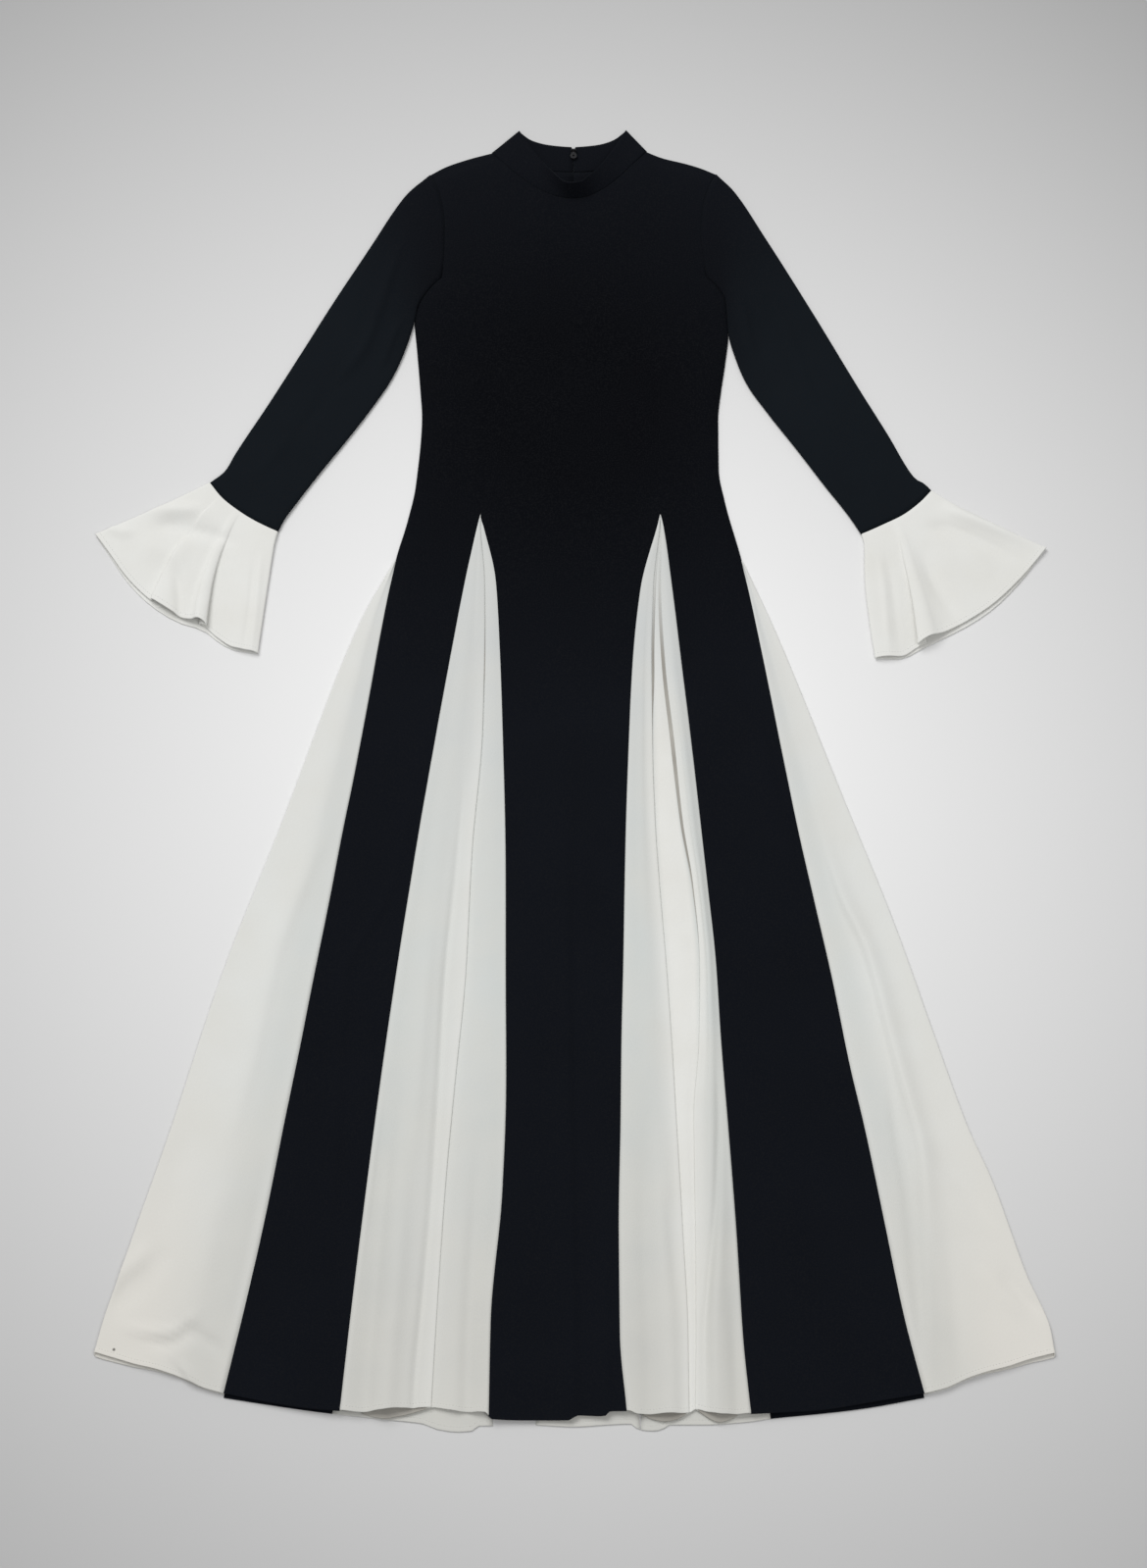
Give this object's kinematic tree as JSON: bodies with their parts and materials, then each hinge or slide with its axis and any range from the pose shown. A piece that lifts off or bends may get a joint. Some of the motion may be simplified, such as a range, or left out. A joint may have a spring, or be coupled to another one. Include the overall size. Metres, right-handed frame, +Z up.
{
  "type": "long dress laid flat",
  "caption": "Floor-length black dress with stand collar, white godets in the skirt and white bell cuffs, laid flat on its back.",
  "frame": {"origin": "centre of the laid dress's box, on the surface that it lies on", "axes": "+X to the right of the picture, +Y from the hem to the collar, +Z up from the surface, out of the dress's front"},
  "size_m": [1.0815, 1.532, 0.0223],
  "materials": {
    "black_crepe": "matt crepe, faint dry sheen",
    "white_crepe": "matt crepe, off-white",
    "zip_metal": "dark satin"
  },
  "bodies": {
    "dress": {"front": "black_crepe", "back_left": "black_crepe", "back_right": "black_crepe", "godet_back_left": "white_crepe", "godet_back_centre": "white_crepe", "godet_back_right": "white_crepe", "godet_front_left": "white_crepe", "godet_front_right": "white_crepe", "godet_side_left": "white_crepe", "godet_side_right": "white_crepe", "sleeve_left": "black_crepe", "sleeve_right": "black_crepe", "cuff_left": "white_crepe", "cuff_right": "white_crepe", "collar": "black_crepe", "zip_slider": "zip_metal"},
    "pull": {"zip_pull": "zip_metal"}
  },
  "joints": [
    {"name": "pull_hinge", "type": "hinge", "parent": "dress", "child": "pull", "pos_m": [0.0035, 0.73647, 0.0053], "axis": [-1, 0, 0], "range_deg": [0, 150]}
  ]
}
